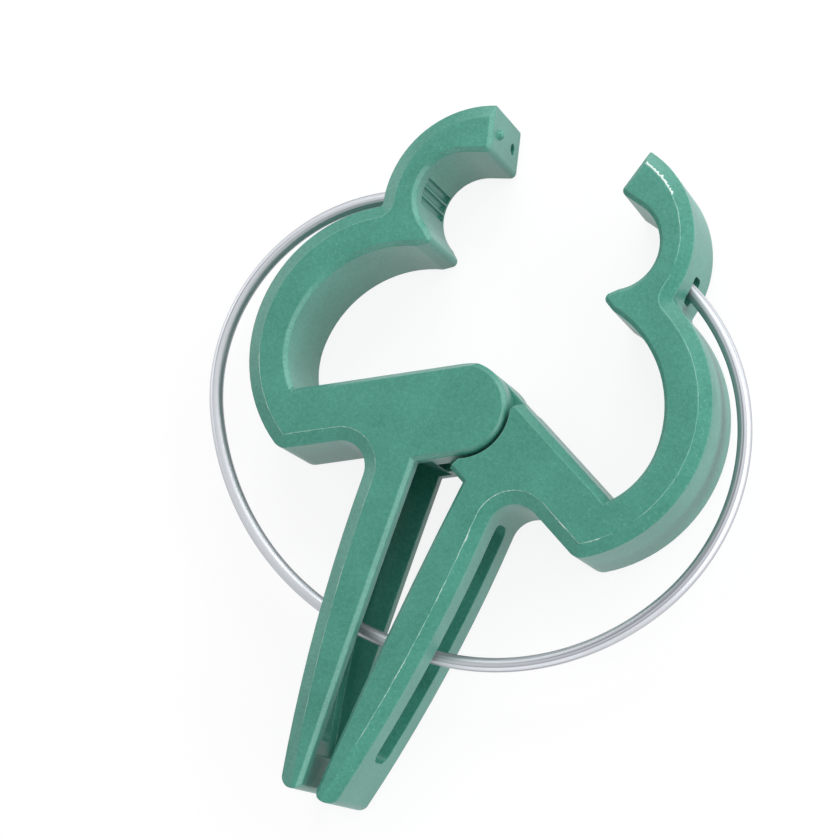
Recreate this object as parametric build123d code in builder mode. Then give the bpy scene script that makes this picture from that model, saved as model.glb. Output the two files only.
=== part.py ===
"""Orchid clip: two moulded jaws on an interleaved hinge, closed by one ring of spring wire.

The clip lies on its back face, held open as when its handles are squeezed. The hinge axis is Z, the jaws'
tips point along +Y and the handles along -Y. Outlines are given for the jaw on the +X side, with x counted
outwards from the clip's middle line, and the left jaw is the mirror image.
"""
import math
import os

from build123d import *

# Driving dimensions in millimetres, angles in degrees.
jaw_depth = 8.0              # along the hinge axis
open_half_angle = 16.2       # from the middle line to each tip, as held open
right_turn = 0.65            # by which the right jaw is then closed a little more

# Hinge: two lugs on the left jaw, a tongue on the right jaw and a moulded pin.
lug_radius = 3.95
lug_thickness = 2.55
lug_side_gap = 0.1           # between a lug and the tongue, along the pin
lug_rim_gap = 0.38           # round the lugs and the tongue
pin_radius = 1.5
pin_clearance = 0.06
pin_split = 0.3              # between the two halves of the pin
recess_nose = 3.2            # from the hinge to the squared ends of a round cut, along the bar

# Bar from the hinge to the large loop.
bar_slope = 27.0             # below the level
base_drop = 1.25             # from the hinge to the underside of the base, across the bar
bar_bevel_width = 0.6
bar_bevel_depth = 1.2

# Large loop, for a flower stem.
stem_centre = (6.98, 1.95)
stem_radius = 9.88
stem_low_radius = 7.2        # tighter round just above the bar
stem_outer_centre = (8.12, 2.64)
stem_outer_radius = 12.47
base_corner_radius = 1.3     # more than the bevel's width

# Small loop, for a cane.
cane_centre = (7.23, 16.8)
cane_radius = 3.85
cane_outer_centre = (4.98, 16.5)
cane_outer_radius = 8.9
cane_end_angle = -62.0       # where the round of the small loop ends, from the level
waist_radius = 0.5           # hollow where the outsides of the two loops meet
tip_chin = 0.73              # from the round of the small loop to the inner corner of the tip
tip_corner_radius = 0.5      # more than the bevel's width

# Nose between the two loops.
nose_corner = (7.9, 12.4)    # before it is rounded
nose_radius = 0.5
nose_stem_angle = 77.0       # where the round of the large loop ends, from the level

# Grip grooves inside the small loop.
groove_radius = 0.33
groove_count = 3
groove_first_angle = -16.5
groove_pitch_angle = 12.3
groove_bottom = 0.55         # from the back face
groove_length = 5.9

# Locating nub and socket on the end face of each tip.
nub_radius = 0.45
socket_clearance = 0.06
socket_depth = 0.8
nub_spacing = 3.8            # from nub to socket, along the hinge axis

# Handles.
handle_end = 33.3            # below the hinge
handle_waist = 19.0          # height at which the curve of the handle is given
handle_outer_root = 5.95
handle_outer_waist = 4.95
handle_outer_end = 2.45
handle_inner_root_left = 2.0
handle_inner_root_right = 2.55
handle_inner_waist = 1.35
handle_inner_end = 0.5
handle_end_bulge = 0.6       # rounding of the handle's end
crotch_radius = 2.3
slot_top = 7.7               # below the hinge
slot_bottom = 29.5
slot_width = 2.8
slot_corner = 0.9
channel_top = 4.9            # hollow along the inside of the handle, below the hinge
channel_bottom = 30.7
channel_wall = 1.25          # in front of the hollow and behind it
channel_web = 1.2            # between the hollow and the outside of the handle

# Bevels along the outside of each jaw, and along its other edges.
rim_width = 1.15
rim_depth = 0.45
edge_bevel = 0.35

# Pocket above the waist of each jaw for an end of the wire.
pocket_above_waist = 1.82    # along the outside of the small loop
pocket_slope = 22.5          # above the level, going in
pocket_width = 2.3
pocket_height = 1.9
pocket_depth = 1.94
pocket_corner = 0.5
pocket_run_out = 2.5         # outside the wall

# Ring of spring wire.
wire_radius = 0.6
ring_shift = 0.59            # the bottom of the ring lies a little to the right
ring_bottom = -19.97
ring_bottom_radius = 32.26
ring_bottom_half_angle = 8.6
ring_left_radius = 25.0      # the ring is bent out of round
ring_right_radius = 21.6
ring_side_angle = -29.9      # from the level, where the side arcs end
wire_end_gap = 0.73          # from the end of the wire to the bottom of its pocket

# Worked out from the above, for the jaw on the +X side.
bar_along = Vector(math.cos(math.radians(bar_slope)), -math.sin(math.radians(bar_slope)))
bar_across = Vector(math.sin(math.radians(bar_slope)), math.cos(math.radians(bar_slope)))
tip_along = Vector(math.sin(math.radians(open_half_angle)), math.cos(math.radians(open_half_angle)))
tip_normal = Vector(-tip_along.Y, tip_along.X)
pocket_in = Vector(-math.cos(math.radians(pocket_slope)), math.sin(math.radians(pocket_slope)))
recess_radius = lug_radius + lug_rim_gap
tongue_floor = lug_thickness + lug_side_gap
groove_span = groove_count * groove_pitch_angle
mid_depth = jaw_depth / 2
left = -1
right = 1
match_tolerance = 0.01       # when edges are picked by where they lie


def polar(centre, radius, angle):
    """Point on a circle, at an angle above the level."""
    turn = math.radians(angle)
    return Vector(*centre) + Vector(math.cos(turn), math.sin(turn)) * radius


def line_crossing(foot, along, centre, radius):
    """Far point where a line from a foot crosses a circle."""
    to_centre = Vector(*centre) - foot
    reach = to_centre.dot(along)
    half_chord = math.sqrt(radius**2 - (to_centre.length**2 - reach**2))
    return foot + along * (reach + half_chord)


def circle_crossing(low_centre, low_radius, high_centre, high_radius):
    """Outer point where two circles, one above the other, cross."""
    between = Vector(*high_centre) - Vector(*low_centre)
    unit = between.normalized()
    reach = (between.length**2 + low_radius**2 - high_radius**2) / (2 * between.length)
    aside = math.sqrt(low_radius**2 - reach**2)
    return Vector(*low_centre) + unit * reach + Vector(unit.Y, -unit.X) * aside


def arc_points(centre, start, end):
    """Start, middle and end of the shorter arc about a centre."""
    hub = Vector(*centre)
    middle = (start - hub).normalized() + (end - hub).normalized()
    return start, hub + middle.normalized() * (start - hub).length, end


def tip_inner_corner():
    """Inner corner of a tip, on the line from the hinge that holds the tip's end face."""
    return line_crossing(Vector(0, 0), tip_along, cane_centre, cane_radius) + tip_along * tip_chin


def loop_waist():
    """Point where the outsides of the two loops meet, before it is rounded."""
    return circle_crossing(stem_outer_centre, stem_outer_radius, cane_outer_centre, cane_outer_radius)


def outer_run():
    """Outside of a jaw, from its tip over both loops and down the handle."""
    tip = line_crossing(Vector(0, 0), tip_along, cane_outer_centre, cane_outer_radius)
    waist = loop_waist()
    base = line_crossing(bar_across * -base_drop, bar_along, stem_outer_centre, stem_outer_radius)
    crotch_reach = (handle_outer_root + bar_across.X * base_drop) / bar_along.X
    crotch = bar_along * crotch_reach - bar_across * base_drop
    with BuildLine() as run:
        ThreePointArc(*arc_points(cane_outer_centre, tip, waist))
        ThreePointArc(*arc_points(stem_outer_centre, waist, base))
        Line(base, crotch)
        ThreePointArc(crotch, (handle_outer_waist, -handle_waist), (handle_outer_end, -handle_end))
        fillet(run.vertices().sort_by_distance(crotch)[0], crotch_radius)
        fillet(run.vertices().sort_by_distance(base)[0], base_corner_radius)
        fillet(run.vertices().sort_by_distance(waist)[0], waist_radius)
    return run.line


def inner_run(inner_root, tip_outer):
    """Inside of a jaw, from the end of its handle round the hinge and through both loops to its tip."""
    root_reach = (inner_root + bar_across.X * lug_radius) / bar_along.X
    root = bar_along * root_reach - bar_across * lug_radius
    stem_side = Vector(stem_centre[0] + stem_radius, stem_centre[1])
    stem_low_centre = (stem_side.X - stem_low_radius, stem_side.Y)
    bar_top = bar_across * lug_radius
    bar_corner = line_crossing(bar_top, bar_along, stem_low_centre, stem_low_radius)
    tip_inner = tip_inner_corner()
    to_tip = tip_inner - Vector(*cane_centre)
    tangent_turn = math.degrees(math.atan2(to_tip.Y, to_tip.X) - math.acos(cane_radius / to_tip.length))
    cane_start = polar(cane_centre, cane_radius, tangent_turn)
    cane_end = polar(cane_centre, cane_radius, cane_end_angle)
    nose_stem = polar(stem_centre, stem_radius, nose_stem_angle)
    with BuildLine() as run:
        ThreePointArc((handle_inner_end, -handle_end), (handle_inner_waist, -handle_waist), root)
        Line(root, -bar_top)
        ThreePointArc(-bar_top, -bar_along * lug_radius, bar_top)
        Line(bar_top, bar_corner)
        ThreePointArc(*arc_points(stem_low_centre, bar_corner, stem_side))
        ThreePointArc(*arc_points(stem_centre, stem_side, nose_stem))
        Polyline(nose_stem, nose_corner, cane_end)
        ThreePointArc(*arc_points(cane_centre, cane_end, cane_start))
        Polyline(cane_start, tip_inner, tip_outer)
        fillet(run.vertices().sort_by_distance(nose_corner)[0], nose_radius)
        fillet(run.vertices().sort_by_distance(tip_inner)[0], tip_corner_radius)
    return run.line


def jaw_outline(outside, inside):
    """Whole outline of the jaw on the +X side, with the full round of its hinge."""
    handle_tip = (outside @ 1 + inside @ 0) / 2 - Vector(0, handle_end_bulge)
    with BuildSketch() as outline:
        with BuildLine():
            add(outside)
            ThreePointArc(outside @ 1, handle_tip, inside @ 0)
            add(inside)
        make_face()
    return outline.sketch


def edges_along(part, run, height):
    """Edges of a part that lie above a run, on the part's face at a height."""
    lift = Vector(0, 0, height)
    on_face = part.edges().filter_by_position(Axis.Z, height, height)
    return on_face.filter_by(lambda edge: run.distance_to(edge @ 0.5 - lift) < match_tolerance)


def bar_bevel(height, inward):
    """Wedge that bevels the top of the bar at one face; inward is 1 at the back and -1 in front."""
    fade = math.sqrt(lug_radius**2 - (lug_radius - bar_bevel_width) ** 2)
    stem_low_centre = (stem_centre[0] + stem_radius - stem_low_radius, stem_centre[1])
    corner = line_crossing(bar_across * lug_radius, bar_along, stem_low_centre, stem_low_radius)
    start = bar_across * lug_radius - bar_along * fade
    across = Vector(bar_bevel_width, 0) / 2
    down = Vector(0, bar_bevel_depth * inward) / 2
    with BuildPart() as wedge:
        with BuildSketch(Plane((start.X, start.Y, height), x_dir=bar_across, z_dir=bar_along)):
            Polygon(across * -3 - down, across - down, across + down * 3, align=None)
        extrude(amount=(corner - start).length)
    return wedge.part


def pocket_point(depth):
    """Point on the middle line of a pocket, at a depth inside the wall."""
    to_waist = loop_waist() - Vector(*cane_outer_centre)
    turn = math.atan2(to_waist.Y, to_waist.X) + pocket_above_waist / cane_outer_radius
    entry = polar(cane_outer_centre, cane_outer_radius, math.degrees(turn))
    return Vector(entry.X, entry.Y, mid_depth) + pocket_in * depth


def handle_hollow():
    """Plan of the hollow along the inside of a handle, open to the clip's middle line."""
    with BuildSketch(Plane.XY.offset(channel_wall)) as hollow:
        with BuildLine():
            web = ThreePointArc(
                (handle_outer_root - channel_web, -channel_top),
                (handle_outer_waist - channel_web, -handle_waist),
                (handle_outer_end - channel_web, -channel_bottom),
            )
            Polyline(web @ 1, (0, -channel_bottom), (0, -channel_top), web @ 0)
        make_face()
    return hollow.sketch


def jaw_blank(inner_root, nub_height, socket_height):
    """Jaw on the +X side with everything but its half of the hinge."""
    outside = outer_run()
    inside = inner_run(inner_root, outside @ 0)
    tip_middle = (tip_inner_corner() + outside @ 0) / 2
    back_bevel = bar_bevel(0, 1)
    front_bevel = bar_bevel(jaw_depth, -1)
    with BuildPart() as blank:
        add(jaw_outline(outside, inside))
        extrude(amount=jaw_depth)
        for height in (0, jaw_depth):
            face = blank.faces().filter_by_position(Axis.Z, height, height)[0]
            chamfer(edges_along(blank, outside, height), rim_width, rim_depth, reference=face)
            chamfer(edges_along(blank, inside, height), edge_bevel)
        add([back_bevel, front_bevel], mode=Mode.SUBTRACT)
        with BuildSketch(Plane.YZ):
            with Locations((-(slot_top + slot_bottom) / 2, mid_depth)):
                RectangleRounded(slot_bottom - slot_top, slot_width, slot_corner)
        extrude(amount=handle_outer_root + rim_width, mode=Mode.SUBTRACT)
        add(handle_hollow())
        extrude(amount=jaw_depth - 2 * channel_wall, mode=Mode.SUBTRACT)
        with BuildSketch(Plane(pocket_point(-pocket_run_out), x_dir=(0, 0, 1), z_dir=pocket_in)):
            RectangleRounded(pocket_height, pocket_width, pocket_corner)
        extrude(amount=pocket_run_out + pocket_depth, mode=Mode.SUBTRACT)
        with BuildSketch(Plane.XY.offset(groove_bottom)):
            with Locations(cane_centre):
                with PolarLocations(cane_radius, groove_count, groove_first_angle, groove_span):
                    Circle(groove_radius)
        extrude(amount=groove_length, mode=Mode.SUBTRACT)
        with Locations(Plane((tip_middle.X, tip_middle.Y, nub_height), z_dir=tip_normal)):
            Sphere(nub_radius)
        with Locations(Plane((tip_middle.X, tip_middle.Y, socket_height), z_dir=tip_normal)):
            Cylinder(nub_radius + socket_clearance, 2 * socket_depth, mode=Mode.SUBTRACT)
    return blank.part


def hinge_round(side, height):
    """Room for the other jaw's half of the hinge, squared off where a round would leave thin edges."""
    with BuildSketch(Plane((0, 0, height), x_dir=(side * bar_along.X, bar_along.Y, 0))) as room:
        Circle(recess_radius)
        with Locations(((recess_nose - recess_radius) / 2, 0)):
            Rectangle(recess_nose + recess_radius, 2 * recess_radius)
    return room.sketch


def ring_points(side, side_radius, turn):
    """Centre and two ends of the side arc of the ring, and the end of the wire, on one side."""
    bottom_centre = Vector(0, ring_bottom + ring_bottom_radius)
    low = polar(bottom_centre, ring_bottom_radius, ring_bottom_half_angle - 90)
    side_centre = low + (bottom_centre - low).normalized() * side_radius
    high = polar(side_centre, side_radius, ring_side_angle)
    seat = pocket_point(pocket_depth - wire_end_gap)
    arc = [Vector(ring_shift + side * point.X, point.Y, mid_depth) for point in (side_centre, low, high)]
    return *arc, Vector(side * seat.X, seat.Y, mid_depth).rotate(Axis.Z, turn)


os.makedirs("parts", exist_ok=True)
nub_front = mid_depth + nub_spacing / 2
nub_back = mid_depth - nub_spacing / 2

# Left jaw: a fork of two lugs with half of the pin moulded on each.
with BuildPart() as left_jaw:
    mirror(jaw_blank(handle_inner_root_left, nub_front, nub_back), about=Plane.YZ)
    add(hinge_round(left, lug_thickness))
    extrude(amount=jaw_depth - 2 * lug_thickness, mode=Mode.SUBTRACT)
    pin_half = mid_depth - lug_thickness - pin_split / 2
    with BuildSketch(Plane.XY.offset(lug_thickness), Plane.XY.offset(mid_depth + pin_split / 2)):
        Circle(pin_radius)
    extrude(amount=pin_half)
left_jaw.part.label = "left_jaw"
export_step(left_jaw.part, "parts/left_jaw.step")

# Right jaw: a tongue between two rounds cut for the lugs, bored for the pin.
with BuildPart() as right_jaw:
    add(jaw_blank(handle_inner_root_right, nub_back, nub_front))
    add([hinge_round(right, 0), hinge_round(right, jaw_depth - tongue_floor)])
    extrude(amount=tongue_floor, mode=Mode.SUBTRACT)
    Hole(pin_radius + pin_clearance)
right_solid = right_jaw.part.rotate(Axis.Z, right_turn)
right_solid.label = "right_jaw"
export_step(right_solid, "parts/right_jaw.step")

# Spring ring: round wire through both handle slots, with an end in each jaw's pocket.
with BuildPart() as spring_ring:
    left_centre, left_low, left_high, left_seat = ring_points(left, ring_left_radius, 0)
    right_centre, right_low, right_high, right_seat = ring_points(right, ring_right_radius, right_turn)
    left_rise = (left_high - left_centre).rotate(Axis.Z, -90)
    right_rise = (right_high - right_centre).rotate(Axis.Z, 90)
    with BuildLine() as route:
        left_top = TangentArc(left_high, left_seat, tangent=left_rise)
        ThreePointArc(*arc_points(left_centre, left_high, left_low))
        ThreePointArc(left_low, (ring_shift, ring_bottom, mid_depth), right_low)
        ThreePointArc(*arc_points(right_centre, right_low, right_high))
        TangentArc(right_high, right_seat, tangent=right_rise)
    with BuildSketch(Plane(left_seat, z_dir=left_top % 1)):
        Circle(wire_radius)
    sweep(path=route.line)
spring_ring.part.label = "spring_ring"
export_step(spring_ring.part, "parts/spring_ring.step")
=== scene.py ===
import logging
import math
from dataclasses import dataclass, field
from enum import Enum

import bmesh
import bpy
from mathutils import Matrix, Vector, noise


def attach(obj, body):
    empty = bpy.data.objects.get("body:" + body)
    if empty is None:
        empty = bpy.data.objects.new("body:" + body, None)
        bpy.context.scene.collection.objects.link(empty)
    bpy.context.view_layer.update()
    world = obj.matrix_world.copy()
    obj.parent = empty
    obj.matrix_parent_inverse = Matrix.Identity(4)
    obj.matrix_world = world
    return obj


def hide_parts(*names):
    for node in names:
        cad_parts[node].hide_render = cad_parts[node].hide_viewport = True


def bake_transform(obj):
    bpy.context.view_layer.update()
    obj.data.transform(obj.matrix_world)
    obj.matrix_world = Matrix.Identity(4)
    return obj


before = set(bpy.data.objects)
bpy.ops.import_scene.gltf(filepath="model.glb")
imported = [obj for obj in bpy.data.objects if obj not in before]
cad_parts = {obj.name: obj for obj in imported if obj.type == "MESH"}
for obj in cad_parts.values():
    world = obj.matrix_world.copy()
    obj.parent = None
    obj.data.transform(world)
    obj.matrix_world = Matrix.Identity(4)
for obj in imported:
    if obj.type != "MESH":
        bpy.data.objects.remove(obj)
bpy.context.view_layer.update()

log = logging.getLogger("orchid_clip")

MM = 0.001
WHITE = "#FFFFFF"
NOISE_SPAN = (0.3, 0.7)          # where nearly all values of a noise texture lie


class Slot(Enum):
    """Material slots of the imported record."""

    JAW = "jaw_plastic"
    WIRE = "spring_wire"


class Side(Enum):
    """The two jaws, by the name of the body that carries each."""

    LEFT = "left"
    RIGHT = "right"

    @property
    def sign(self) -> int:
        """-1 on the left and 1 on the right, along X."""
        return -1 if self is Side.LEFT else 1


def linear(hex_colour: str) -> tuple[float, float, float, float]:
    """Turns an sRGB hex colour into linear red, green, blue and alpha.

    Args:
        hex_colour: six hex digits after a hash sign.

    Returns:
        The four linear values.
    """
    channels = [int(hex_colour[i:i + 2], 16) / 255 for i in (1, 3, 5)]
    flat = [c / 12.92 if c <= 0.04045 else ((c + 0.055) / 1.055) ** 2.4 for c in channels]
    return (*flat, 1.0)


def add_node(tree: bpy.types.NodeTree, kind: str, settings: dict | None = None,
             inputs: dict | None = None) -> bpy.types.Node:
    """Adds a node with its settings and links.

    Args:
        tree: the node tree that gets it.
        kind: Blender's name for the node type.
        settings: attributes of the node itself.
        inputs: values for its input sockets, by name or number; an output socket is linked.

    Returns:
        The new node.
    """
    node = tree.nodes.new(kind)
    for name, value in (settings or {}).items():
        setattr(node, name, value)
    for name, value in (inputs or {}).items():
        if isinstance(value, bpy.types.NodeSocket):
            tree.links.new(value, node.inputs[name])
        else:
            node.inputs[name].default_value = value
    return node


def new_tree(name: str) -> tuple[bpy.types.Material, bpy.types.NodeTree]:
    """Starts a material with an empty node tree.

    Args:
        name: the material's name.

    Returns:
        The material and its tree.
    """
    material = bpy.data.materials.new(name)
    material.use_nodes = True
    material.node_tree.nodes.clear()
    return material, material.node_tree


def add_noise(tree: bpy.types.NodeTree, place: bpy.types.NodeSocket, size_m: float,
              octaves: float = 2.0, falloff: float = 0.6) -> bpy.types.NodeSocket:
    """Adds smooth chance values between 0 and 1.

    Args:
        tree: the node tree that gets them.
        place: the socket with the place on the surface.
        size_m: the size of a spot, in the unit of the place.
        octaves: how many finer layers there are.
        falloff: how strong each layer is next to the one before.

    Returns:
        The output socket.
    """
    node = add_node(tree, "ShaderNodeTexNoise", inputs={
        "Vector": place, "Scale": 1 / size_m, "Detail": octaves, "Roughness": falloff})
    return node.outputs[0]


def spread(tree: bpy.types.NodeTree, value: bpy.types.NodeSocket, source: tuple[float, float],
           target: tuple[float, float] = (0.0, 1.0), curve: str = "LINEAR") -> bpy.types.NodeSocket:
    """Spreads one range of values over another, held at its ends.

    Args:
        tree: the node tree that gets it.
        value: the socket that is read.
        source: the two values that become the target's.
        target: the two values that come out for them.
        curve: Blender's name for the way from the one to the other.

    Returns:
        The output socket.
    """
    node = add_node(tree, "ShaderNodeMapRange", {"interpolation_type": curve}, {
        "Value": value, "From Min": source[0], "From Max": source[1],
        "To Min": target[0], "To Max": target[1]})
    return node.outputs["Result"]


def mix_colours(tree: bpy.types.NodeTree, share: bpy.types.NodeSocket,
                first: tuple[float, ...] | bpy.types.NodeSocket,
                second: tuple[float, ...]) -> bpy.types.NodeSocket:
    """Mixes two colours.

    Args:
        tree: the node tree that gets it.
        share: how much there is of the second colour.
        first: a linear colour, or the socket that gives it.
        second: the other linear colour.

    Returns:
        The output socket.
    """
    node = add_node(tree, "ShaderNodeMix", {"data_type": "RGBA"}, {0: share, 6: first, 7: second})
    return node.outputs[2]


@dataclass(frozen=True)
class MouldedPolypropylene:
    """Green polypropylene, injection moulded in a spark-eroded tool.

    It gives the eye a mid green with a soft sheen that grows towards grazing light, a fine mottled
    grain, and paler edges that are a painted highlight along the corners.
    """

    name: str = "moulded_polypropylene"
    colour: str = "#2B816E"
    pale_colour: str = "#499E8B"
    # painted edge highlight colour, also the colour of the worn scuffs on the grain's high spots
    highlight_and_scuff_colour: str = "#8FD2BC"
    cloud_mm: float = 5.0
    mottle_mm: float = 0.3       # real mottling is about half this; drawn coarser so that it shows
    mottle_share: float = 0.5    # of the tone, the rest being cloud
    grain_mm: float = 0.16       # real grain is about 0.05 mm; drawn coarser so that it shows
    grain_height_mm: float = 0.006
    grain_strength: float = 0.35
    scuff: float = 0.3           # how far the grain's high spots are rubbed pale
    scuff_span: tuple[float, float] = (0.57, 0.74)    # of the grain, where scuffs start and are full
    edge_mm: float = 0.16
    edge_samples: int = 6
    highlight_paleness: float = 0.4             # how far the edges are painted pale, a painted highlight
    highlight_span: tuple[float, float] = (0.99, 0.75)      # cosines between the flat and the rounded skin
    roughness: tuple[float, float] = (0.3, 0.42)      # from the grain's low spots to its high ones
    specular: float = 0.7
    sheen: float = 0.2
    sheen_roughness: float = 0.4
    sheen_colour: str = "#BFD0E6"
    ior: float = 1.49

    def build(self) -> bpy.types.Material:
        """Builds the node material.

        Returns:
            The material.
        """
        material, tree = new_tree(self.name)
        place = add_node(tree, "ShaderNodeTexCoord").outputs["Object"]
        cloud, mottle, grain = (
            add_noise(tree, place, size * MM) for size in (self.cloud_mm, self.mottle_mm, self.grain_mm))
        blend = add_node(tree, "ShaderNodeMix", inputs={0: self.mottle_share, 2: cloud, 3: mottle})
        tone = spread(tree, blend.outputs[0], NOISE_SPAN)
        skin_colour = mix_colours(tree, tone, linear(self.colour), linear(self.pale_colour))
        # painted highlight: edges turn paler where the rounded skin's normal leans away from the flat
        # one
        rounded = add_node(tree, "ShaderNodeBevel", {"samples": self.edge_samples}, {
            "Radius": self.edge_mm * MM})
        flat = add_node(tree, "ShaderNodeNewGeometry")
        facing = add_node(tree, "ShaderNodeVectorMath", {"operation": "DOT_PRODUCT"}, {
            0: rounded.outputs["Normal"], 1: flat.outputs["True Normal"]})
        painted_highlight_mask = spread(tree, facing.outputs["Value"], self.highlight_span, (0.0, self.highlight_paleness))
        scuff_mask = spread(tree, grain, self.scuff_span, (0.0, self.scuff))
        highlight_and_scuff_share = add_node(tree, "ShaderNodeMath", {"operation": "MAXIMUM"}, {
            0: painted_highlight_mask, 1: scuff_mask})
        highlighted_scuffed_skin = mix_colours(tree, highlight_and_scuff_share.outputs["Value"], skin_colour, linear(self.highlight_and_scuff_colour))
        skin = add_node(tree, "ShaderNodeBump", inputs={
            "Height": grain, "Strength": self.grain_strength, "Distance": self.grain_height_mm * MM,
            "Normal": rounded.outputs["Normal"]})
        gloss = spread(tree, grain, NOISE_SPAN, self.roughness)
        shader = add_node(tree, "ShaderNodeBsdfPrincipled", inputs={
            "Base Color": highlighted_scuffed_skin, "Roughness": gloss, "IOR": self.ior,
            "Specular IOR Level": self.specular, "Sheen Weight": self.sheen,
            "Sheen Roughness": self.sheen_roughness, "Sheen Tint": linear(self.sheen_colour),
            "Normal": skin.outputs["Normal"]})
        add_node(tree, "ShaderNodeOutputMaterial", inputs={"Surface": shader.outputs["BSDF"]})
        return material


@dataclass(frozen=True)
class TornFlash:
    """Flash of the same polypropylene, squeezed from the tool's join and torn off.

    It gives the eye a thin ragged line a little paler than the skin, white where it tore most.
    """

    name: str = "torn_polypropylene_flash"
    colour: str = "#62AD97"
    torn_colour: str = "#E2F6EE"
    tear: str = "tear"           # the mesh's own value for how much it tore
    roughness: float = 0.55
    ior: float = 1.49

    def build(self) -> bpy.types.Material:
        """Builds the node material.

        Returns:
            The material.
        """
        material, tree = new_tree(self.name)
        tear = add_node(tree, "ShaderNodeAttribute", {"attribute_name": self.tear})
        colour = mix_colours(tree, tear.outputs["Fac"], linear(self.colour), linear(self.torn_colour))
        shader = add_node(tree, "ShaderNodeBsdfPrincipled", inputs={
            "Base Color": colour, "Roughness": self.roughness, "IOR": self.ior})
        add_node(tree, "ShaderNodeOutputMaterial", inputs={"Surface": shader.outputs["BSDF"]})
        return material


@dataclass(frozen=True)
class DrawnSteel:
    """Galvanised spring steel, drawn to wire through a die.

    It gives the eye a bright cool grey with faint lines along its length and slightly duller patches.
    """

    name: str = "drawn_galvanised_steel"
    colour: str = "#C6C9CE"
    line_colour: str = "#7A7E86"
    line_mm: float = 0.3         # real die lines are finer; drawn coarser so that they show
    line_length_mm: float = 60.0
    line_span: tuple[float, float] = (0.48, 0.68)     # of the noise, where lines start and are full
    line_share: float = 0.9
    line_height_mm: float = 0.01
    line_strength: float = 0.25
    patch_mm: float = 4.0
    patch_octaves: float = 3.0
    patch_falloff: float = 0.5
    roughness: tuple[float, float] = (0.41, 0.54)     # from the brightest patches to the dullest
    metallic: float = 0.85       # the rest is the zinc's dull skin

    def build(self) -> bpy.types.Material:
        """Builds the node material.

        Returns:
            The material.
        """
        material, tree = new_tree(self.name)
        place = add_node(tree, "ShaderNodeTexCoord")
        stretch = add_node(tree, "ShaderNodeMapping", inputs={
            "Vector": place.outputs["UV"],
            "Scale": (1 / (self.line_length_mm * MM), 1 / (self.line_mm * MM), 1.0)})
        lines = add_noise(tree, stretch.outputs["Vector"], 1.0)
        line_mask = spread(tree, lines, self.line_span, (0.0, self.line_share), "SMOOTHSTEP")
        colour = mix_colours(tree, line_mask, linear(self.colour), linear(self.line_colour))
        patches = add_noise(
            tree, place.outputs["Object"], self.patch_mm * MM, self.patch_octaves, self.patch_falloff)
        gloss = spread(tree, patches, NOISE_SPAN, self.roughness)
        skin = add_node(tree, "ShaderNodeBump", inputs={
            "Height": lines, "Strength": self.line_strength, "Distance": self.line_height_mm * MM})
        shader = add_node(tree, "ShaderNodeBsdfPrincipled", inputs={
            "Base Color": colour, "Metallic": self.metallic, "Roughness": gloss,
            "Normal": skin.outputs["Normal"]})
        add_node(tree, "ShaderNodeOutputMaterial", inputs={"Surface": shader.outputs["BSDF"]})
        return material


@dataclass(frozen=True)
class PaleSheet:
    """White sheet of matt card under the clip, which keeps a soft shadow.

    It gives the eye plain white. Its light on the clip is held back, as a far backdrop's would be.
    """

    name: str = "matt_white_card"
    colour: str = "#FAFAFA"
    far_colour: str = "#8C8C8C"
    lift: float = 0.8            # share of plain white that the camera sees
    whiteness: float = 1.08      # brings that and the lit card together up to plain white

    def build(self) -> bpy.types.Material:
        """Builds the node material.

        Returns:
            The material.
        """
        material, tree = new_tree(self.name)
        seen = seen_directly(tree)
        colour = mix_colours(tree, seen, linear(self.far_colour), linear(self.colour))
        card = add_node(tree, "ShaderNodeBsdfDiffuse", inputs={"Color": colour})
        white = add_node(tree, "ShaderNodeEmission", inputs={
            "Color": linear(WHITE), "Strength": self.whiteness})
        share = add_node(tree, "ShaderNodeMath", {"operation": "MULTIPLY"}, {0: seen, 1: self.lift})
        mixed = add_node(tree, "ShaderNodeMixShader", inputs={
            0: share.outputs["Value"], 1: card.outputs["BSDF"], 2: white.outputs["Emission"]})
        add_node(tree, "ShaderNodeOutputMaterial", inputs={"Surface": mixed.outputs["Shader"]})
        return material


def seen_directly(tree: bpy.types.NodeTree) -> bpy.types.NodeSocket:
    """Adds a mask that is 1 for what the camera sees, also in metal and through glass.

    Args:
        tree: the node tree that gets it.

    Returns:
        The mask's output socket.
    """
    path = add_node(tree, "ShaderNodeLightPath").outputs
    either = add_node(tree, "ShaderNodeMath", {"operation": "MAXIMUM"}, {
        0: path["Is Camera Ray"], 1: path["Is Glossy Ray"]})
    any_of = add_node(tree, "ShaderNodeMath", {"operation": "MAXIMUM"}, {
        0: either.outputs["Value"], 1: path["Is Transmission Ray"]})
    return any_of.outputs["Value"]


def mesh_object(name: str, builder: bmesh.types.BMesh, material: bpy.types.Material) -> bpy.types.Object:
    """Turns a bmesh into a smooth-shaded object with one material.

    Args:
        name: the object's name.
        builder: the bmesh, which is freed.
        material: its material.

    Returns:
        The object, linked to the scene.
    """
    mesh = bpy.data.meshes.new(name)
    builder.to_mesh(mesh)
    builder.free()
    mesh.materials.append(material)
    mesh.shade_smooth()
    piece = bpy.data.objects.new(name, mesh)
    bpy.context.scene.collection.objects.link(piece)
    return piece


@dataclass(frozen=True)
class FlashRun:
    """One run of flash along a jaw's front bevel, by its distances from the tip.

    It has half its weight at its two ends, and fades out past them.
    """

    start_mm: float
    end_mm: float
    weight: float
    fade_mm: float = 1.2

    def at(self, along_mm: float) -> float:
        """How heavy this run is at a distance from the tip.

        Args:
            along_mm: the distance in millimetres.

        Returns:
            0 outside the run, up to the run's weight inside it.
        """
        inside = min(along_mm - self.start_mm, self.end_mm - along_mm) / self.fade_mm
        return self.weight * min(1.0, max(0.0, 0.5 + inside))


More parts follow.
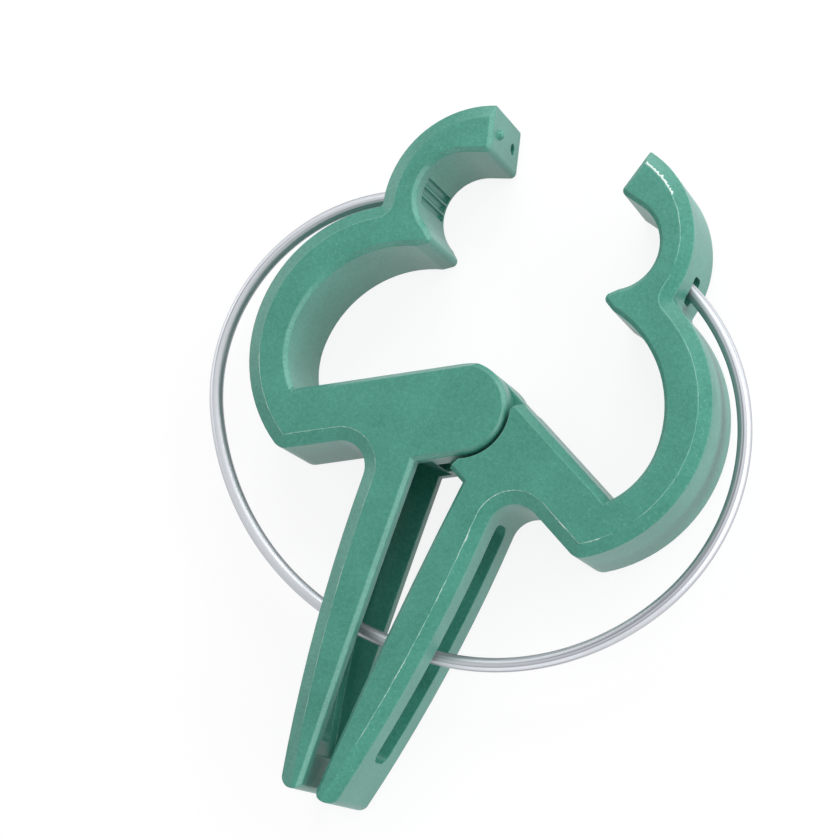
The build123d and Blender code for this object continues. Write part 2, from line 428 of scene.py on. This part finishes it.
@dataclass
class Jaw:
    """One moulded jaw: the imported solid, its finish, and the flash along its front bevel."""

    side: Side
    plastic: bpy.types.Material
    flash: bpy.types.Material
    runs: tuple[FlashRun, ...]
    flash_width_mm: float = 0.06
    heavy_width_mm: float = 0.16     # added where the flash is heaviest
    flash_crest_mm: float = 0.022    # above the bevel where the flash is heaviest
    least_crest: float = 0.3         # share of that where it is lightest
    crest_place: float = 0.4         # of the width, from the upper foot
    flash_step_mm: float = 0.1
    steady: float = 0.8              # share of a run's weight before chance comes in
    patch_mm: float = 2.2
    patch_swing: float = 0.9
    ragged_mm: float = 0.3
    ragged_swing: float = 0.9
    teeth_mm: float = 0.21
    teeth_swing: float = 1.2
    sway_mm: float = 0.9             # length over which the flash wanders
    wander_mm: float = 0.07
    foot_mm: float = 0.002           # depth of the flash's feet in the skin
    hidden_mm: float = 0.02          # the same where there is no flash
    root_mm: float = 0.04            # depth of its inmost corner
    bevel_slope: float = 0.39

    @property
    def node(self) -> str:
        """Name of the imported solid."""
        return f"{self.side.value}_jaw"

    def dress(self) -> bpy.types.Object:
        """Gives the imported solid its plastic.

        Returns:
            The solid's object.
        """
        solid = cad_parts[self.node]
        solid.data.materials.clear()
        solid.data.materials.append(self.plastic)
        return solid

    def bevel_path(self) -> list[tuple[Vector, Vector]]:
        """Finds the line where the flat front meets the wide bevel, from the tip to the handle's end.

        Returns:
            Points of the line in metres, each with its level direction out over the bevel.
        """
        steepest, flattest = 0.85, 0.98
        near = 0.001 * MM
        solid = bmesh.new()
        solid.from_mesh(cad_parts[self.node].data)
        bmesh.ops.remove_doubles(solid, verts=solid.verts, dist=near)
        front = max(vert.co.z for vert in solid.verts)
        outward: dict[int, Vector] = {}
        links: dict[int, list[int]] = {}
        for edge in solid.edges:
            if len(edge.link_faces) != 2 or any(abs(vert.co.z - front) > near for vert in edge.verts):
                continue
            slopes = [face.normal for face in edge.link_faces if steepest < face.normal.z < flattest]
            if len(slopes) == 1:
                a, b = (vert.index for vert in edge.verts)
                links.setdefault(a, []).append(b)
                links.setdefault(b, []).append(a)
                for end in (a, b):
                    outward[end] = outward.get(end, Vector()) + Vector((slopes[0].x, slopes[0].y, 0))
        solid.verts.ensure_lookup_table()
        ends = [i for i, near_by in links.items() if len(near_by) == 1]
        here = max(ends, key=lambda i: solid.verts[i].co.y)
        order, seen = [here], {here}
        while ahead := [i for i in links[here] if i not in seen]:
            here = ahead[0]
            order.append(here)
            seen.add(here)
        path = [(solid.verts[i].co.copy(), outward[i].normalized()) for i in order]
        solid.free()
        return path

    def even_path(self) -> list[tuple[Vector, Vector, float]]:
        """Spaces the bevel line evenly.

        Returns:
            Points, their level outward directions, and their distances from the tip in millimetres.
        """
        path = self.bevel_path()
        even, run, due = [], 0.0, 0.0
        for (a, out_a), (b, out_b) in zip(path, path[1:]):
            length = (b - a).length / MM
            while due <= run + length:
                share = (due - run) / length
                even.append((a.lerp(b, share), out_a.lerp(out_b, share).normalized(), due))
                due += self.flash_step_mm
            run += length
        return even

    def ripple(self, along_mm: float, length_mm: float) -> float:
        """Smooth chance value from -1 to 1 that changes over a length along the bevel."""
        return noise.noise(Vector((along_mm / length_mm, 7.0 * self.side.sign, length_mm)))

    def strength(self, along_mm: float) -> float:
        """How heavy the flash is at a distance from the tip.

        Args:
            along_mm: the distance in millimetres.

        Returns:
            0 where there is none, up to 1.
        """
        planned = sum(run.at(along_mm) for run in self.runs)
        patchy = self.patch_swing * self.ripple(along_mm, self.patch_mm)
        ragged = self.ragged_swing * self.ripple(along_mm, self.ragged_mm)
        return min(1.0, max(0.0, planned * (self.steady + patchy + ragged)))

    def section(self, point: Vector, out: Vector, along_mm: float, weight: float) -> tuple[Vector, ...]:
        """Works out the four corners of the flash at one place, sunk where there is none.

        Args:
            point: the place on the bevel's upper edge, in metres.
            out: the level direction out over the bevel.
            along_mm: the distance from the tip.
            weight: how heavy the flash is.

        Returns:
            The corners: upper foot, crest, lower foot and a point inside the wall.
        """
        teeth = 1 + self.teeth_swing * self.ripple(along_mm, self.teeth_mm)
        width = (self.flash_width_mm + self.heavy_width_mm * weight ** 2 * teeth) * MM
        start = self.wander_mm * MM * (1 + self.ripple(along_mm, self.sway_mm)) / 2
        sunk = (self.foot_mm if weight > 0 else self.hidden_mm) * MM
        tallest = (self.least_crest + (1 - self.least_crest) * weight) * self.flash_crest_mm * MM
        peak = self.crest_place * width
        crest = min(peak * self.bevel_slope, tallest) if weight > 0 else -sunk
        steps = ((0.0, -sunk), (peak, crest), (width, -sunk), (width / 2, -self.root_mm * MM))
        return tuple(
            point + out * (start + step) + Vector((0, 0, rise - (start + step) * self.bevel_slope))
            for step, rise in steps)

    def add_flash(self) -> bpy.types.Object:
        """Builds the ragged flash as one thin closed strip on the bevel.

        Returns:
            The strip, riding on the jaw's body.
        """
        builder = bmesh.new()
        tear = builder.verts.layers.float.new(TornFlash.tear)
        rings = []
        for point, out, along in self.even_path():
            weight = self.strength(along)
            ring = [builder.verts.new(corner) for corner in self.section(point, out, along, weight)]
            for vert in ring:
                vert[tear] = weight
            rings.append(ring)
        for ring, following in zip(rings, rings[1:]):
            for i in range(len(ring)):
                j = (i + 1) % len(ring)
                builder.faces.new((ring[i], ring[j], following[j], following[i]))
        builder.faces.new(reversed(rings[0]))
        builder.faces.new(rings[-1])
        bmesh.ops.recalc_face_normals(builder, faces=builder.faces)
        strip = mesh_object(f"{self.node}_flash", builder, self.flash)
        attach(strip, self.side.value)
        return strip


@dataclass
class SpringRing:
    """Ring of spring wire through both handle slots, with an end in each jaw's pocket.

    Sizes are in millimetres and angles in degrees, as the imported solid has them.
    """

    steel: bpy.types.Material
    wire_radius: float = 0.599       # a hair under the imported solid's
    middle_depth: float = 4.0
    shift: float = 0.59              # of the bottom, to the right
    bottom: float = -19.97
    bottom_radius: float = 32.26
    bottom_half_angle: float = 8.6
    left_radius: float = 25.0
    right_radius: float = 21.6
    side_angle: float = -29.9        # from the level, where the side arcs end
    left_seat: tuple[float, float] = (-12.724, 16.14)      # end of the wire in the left pocket
    right_seat: tuple[float, float] = (12.54, 16.283)
    sides: int = 24
    step: float = 0.6                # along the wire
    arcs: list[tuple[Vector, float, float, float]] = field(default_factory=list)

    def plan_arcs(self) -> None:
        """Works out the five arcs in order from the left end, as centre, radius and two angles."""
        rise = math.radians(self.side_angle)
        half = math.radians(self.bottom_half_angle)
        down = -math.pi / 2
        hub = Vector((self.shift, self.bottom + self.bottom_radius))
        runs = {}
        left_run = (Side.LEFT, self.left_radius, self.left_seat)
        right_run = (Side.RIGHT, self.right_radius, self.right_seat)
        for side, radius, seat in (left_run, right_run):
            inward = Vector((-side.sign * math.cos(rise), -math.sin(rise)))
            low = Vector((side.sign * math.sin(half), -math.cos(half)))
            centre = hub + low * (self.bottom_radius - radius)
            high = centre - inward * radius
            chord = Vector(seat) - high
            top_radius = chord.length_squared / (2 * chord.dot(inward))
            top_centre = high + inward * top_radius
            to_seat = Vector(seat) - top_centre
            turns = [down + half, rise, math.atan2(to_seat.y, side.sign * to_seat.x)]
            if side is Side.LEFT:
                turns = [-math.pi - turn for turn in turns]
            lower = (centre, radius, turns[0], turns[1])
            upper = (top_centre, top_radius, turns[1], turns[2])
            runs[side] = [lower, upper]
        left = [(centre, radius, end, start) for centre, radius, start, end in reversed(runs[Side.LEFT])]
        self.arcs = [*left, (hub, self.bottom_radius, down - half, down + half), *runs[Side.RIGHT]]

    def centre_line(self) -> list[tuple[Vector, Vector, float]]:
        """Points along the wire in millimetres.

        Returns:
            Each point with its level outward direction and its distance from the left end.
        """
        line, run = [], 0.0
        for centre, radius, start, end in self.arcs:
            length = abs(end - start) * radius
            count = max(2, round(length / self.step))
            for i in range(0 if not line else 1, count + 1):
                turn = start + (end - start) * i / count
                out = Vector((math.cos(turn), math.sin(turn), 0))
                place = Vector((centre.x, centre.y, self.middle_depth)) + out * radius
                line.append((place, out, run + length * i / count))
            run += length
        return line

    def build(self) -> bpy.types.Object:
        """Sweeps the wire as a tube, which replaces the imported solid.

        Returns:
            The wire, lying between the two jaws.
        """
        self.plan_arcs()
        line = self.centre_line()
        builder = bmesh.new()
        wrap = builder.loops.layers.uv.new("wire")
        upward = Vector((0, 0, 1))
        turns = [2 * math.pi * k / self.sides for k in range(self.sides)]
        rings = []
        for place, out, along in line:
            spokes = [(out * math.cos(t) + upward * math.sin(t)) * self.wire_radius for t in turns]
            rings.append(([builder.verts.new((place + spoke) * MM) for spoke in spokes], along))
        around = 2 * math.pi * self.wire_radius
        for (ring, at), (following, then) in zip(rings, rings[1:]):
            for k in range(self.sides):
                j = (k + 1) % self.sides
                face = builder.faces.new((ring[k], following[k], following[j], ring[j]))
                low, high = around * k / self.sides, around * (k + 1) / self.sides
                for loop, spot in zip(face.loops, ((at, low), (then, low), (then, high), (at, high))):
                    loop[wrap].uv = (spot[0] * MM, spot[1] * MM)
        builder.faces.new(rings[0][0])
        builder.faces.new(reversed(rings[-1][0]))
        bmesh.ops.recalc_face_normals(builder, faces=builder.faces)
        wire = mesh_object("spring_wire", builder, self.steel)
        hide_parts("spring_ring")
        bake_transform(wire)
        return wire


@dataclass(frozen=True)
class Softbox:
    """One soft lamp, aimed at the clip."""

    name: str
    place_m: tuple[float, float, float]
    size_m: float
    radiance: float

    def build(self) -> bpy.types.Object:
        """Builds the lamp.

        Returns:
            The lamp's object.
        """
        lamp = bpy.data.lights.new(self.name, "AREA")
        lamp.shape = "SQUARE"
        lamp.size = self.size_m
        lamp.energy = self.radiance * math.pi * self.size_m ** 2
        holder = bpy.data.objects.new(self.name, lamp)
        holder.location = self.place_m
        holder.visible_camera = False
        holder.rotation_euler = (-Vector(self.place_m)).to_track_quat("-Z", "Y").to_euler()
        bpy.context.scene.collection.objects.link(holder)
        return holder


@dataclass
class Studio:
    """White floor, soft light and the photograph's camera, at their places around the clip."""

    camera_mm: tuple[float, float, float] = (75.19, -20.59, 199.73)
    target_mm: tuple[float, float, float] = (-4.31, -1.78, 4.3)
    roll_deg: float = 23.33      # from the clip's +Y to the picture's upright
    lens_mm: float = 108.18      # on the default 36 mm sensor
    floor_m: float = 4.0
    ambient: float = 0.35
    lamps: tuple[Softbox, ...] = (
        Softbox("key_softbox", (0.278, 0.446, 0.163), 0.45, 2.6),
        Softbox("side_softbox", (0.53, 0.03, 0.14), 0.45, 2.7),
        Softbox("left_softbox", (-0.5, 0.05, 0.17), 0.3, 1.4),
        Softbox("near_softbox", (-0.035, 0.11, 0.09), 0.08, 3.4),
        Softbox("low_softbox", (0.1, -0.48, 0.12), 0.35, 1.1),
    )

    def add_floor(self) -> bpy.types.Object:
        """Lays the card under the clip.

        Returns:
            The floor's object.
        """
        half = self.floor_m / 2
        builder = bmesh.new()
        corners = ((-half, -half, 0), (half, -half, 0), (half, half, 0), (-half, half, 0))
        builder.faces.new([builder.verts.new(corner) for corner in corners])
        floor = mesh_object("floor", builder, PaleSheet().build())
        return floor

    def add_world(self) -> None:
        """Sets soft light all round, with plain white where the camera sees past the floor."""
        world = bpy.data.worlds.new("white_room")
        world.use_nodes = True
        tree = world.node_tree
        tree.nodes.clear()
        soft, white = (
            add_node(tree, "ShaderNodeBackground", inputs={"Color": linear(WHITE), "Strength": strength})
            for strength in (self.ambient, 1.0))
        mixed = add_node(tree, "ShaderNodeMixShader", inputs={
            0: seen_directly(tree), 1: soft.outputs["Background"], 2: white.outputs["Background"]})
        add_node(tree, "ShaderNodeOutputWorld", inputs={"Surface": mixed.outputs["Shader"]})
        bpy.context.scene.world = world

    def add_camera(self) -> bpy.types.Object:
        """Sets the camera where the photograph was taken from.

        Returns:
            The camera's object.
        """
        data = bpy.data.cameras.new("camera")
        data.lens = self.lens_mm
        data.clip_start = 0.01
        data.clip_end = 20.0
        camera = bpy.data.objects.new("camera", data)
        place, target = Vector(self.camera_mm) * MM, Vector(self.target_mm) * MM
        back = (place - target).normalized()
        roll = math.radians(self.roll_deg)
        upright = Vector((-math.sin(roll), math.cos(roll), 0))
        right = upright.cross(back).normalized()
        turn = Matrix((right, back.cross(right), back)).transposed()
        camera.matrix_world = Matrix.Translation(place) @ turn.to_4x4()
        bpy.context.scene.collection.objects.link(camera)
        bpy.context.scene.camera = camera
        return camera

    def build(self) -> None:
        """Builds the floor, the light and the camera."""
        self.add_floor()
        self.add_world()
        for lamp in self.lamps:
            lamp.build()
        self.add_camera()
        bpy.context.scene.view_settings.view_transform = "Standard"


def main() -> None:
    """Builds the clip's pieces and the studio in order."""
    logging.basicConfig(level=logging.INFO)
    Studio().build()
    plastic = MouldedPolypropylene().build()
    flash = TornFlash().build()
    runs = {
        Side.LEFT: (FlashRun(9, 30, 0.12), FlashRun(30, 37, 0.42), FlashRun(37, 70, 0.3)),
        Side.RIGHT: (FlashRun(-2, 3.2, 6.0), FlashRun(3.2, 9, 0.25), FlashRun(11, 33, 0.18),
                     FlashRun(36, 41, 0.45), FlashRun(41, 70, 0.4)),
    }
    for side in Side:
        jaw = Jaw(side, plastic, flash, runs[side])
        log.info("dressed %s", jaw.dress().name)
        log.info("added %s", jaw.add_flash().name)
    ring = SpringRing(DrawnSteel().build())
    log.info("added %s", ring.build().name)


if __name__ == "__main__":
    main()
